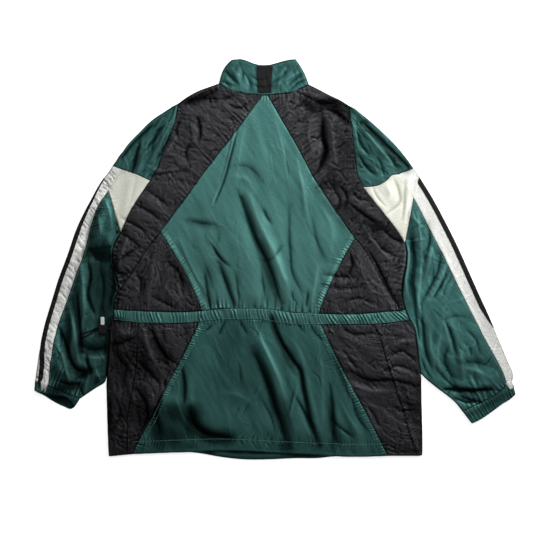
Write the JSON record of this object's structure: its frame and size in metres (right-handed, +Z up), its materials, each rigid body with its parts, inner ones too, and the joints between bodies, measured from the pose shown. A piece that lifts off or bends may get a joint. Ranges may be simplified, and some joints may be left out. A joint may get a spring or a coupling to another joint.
{
  "type": "pullover jacket",
  "caption": "Hip-length nylon pullover jacket with a stand collar, drawcord waist and elastic cuffs, laid flat on its front with the colour-blocked back showing.",
  "frame": {"origin": "middle of the garment's outline, on the surface it lies on", "axes": "+X across the back from the left sleeve in the picture to the right one, +Y towards the collar, +Z up from the surface"},
  "size_m": [1.0358, 0.8606, 0.0155],
  "materials": {
    "nylon_green": "thin teal-green woven nylon with a satin sheen",
    "nylon_green_dark": "darker green thin woven nylon with a satin sheen",
    "nylon_black": "thin black woven nylon, softly crinkled",
    "nylon_white": "off-white woven nylon",
    "tape_black": "matt black woven tape, stitched on",
    "zip_black": "plain black zip, closed",
    "cord_black": "braided black elastic cord",
    "plastic_black": "black moulded plastic",
    "plastic_pale": "pale grey moulded plastic"
  },
  "bodies": {
    "root": {"back_band_left": "nylon_black", "back_band_right": "nylon_black", "back_kite": "nylon_green", "back_side_left": "nylon_black", "back_side_right": "nylon_black", "collar": "nylon_green_dark", "collar_tab": "tape_black", "cord_lock": "plastic_black", "cord_lock_button": "plastic_pale", "cuff_left": "nylon_green_dark", "cuff_right": "nylon_green_dark", "drawcord": "cord_black", "front_skirt": "nylon_green", "front_upper": "nylon_black", "front_zip": "zip_black", "skirt_centre": "nylon_green", "skirt_outer_left": "nylon_black", "skirt_outer_right": "nylon_black", "skirt_side_left": "nylon_black", "skirt_side_right": "nylon_black", "sleeve_back_left": "nylon_green_dark", "sleeve_back_right": "nylon_green_dark", "sleeve_cap_left": "nylon_green_dark", "sleeve_cap_right": "nylon_green_dark", "sleeve_front_left": "nylon_green_dark", "sleeve_front_right": "nylon_green_dark", "sleeve_gusset_left": "nylon_white", "sleeve_gusset_right": "nylon_white", "sleeve_stripe_left": "nylon_white", "sleeve_stripe_right": "nylon_white", "sleeve_tape_left": "tape_black", "sleeve_tape_right": "tape_black", "waist_casing": "nylon_green"}
  },
  "joints": []
}
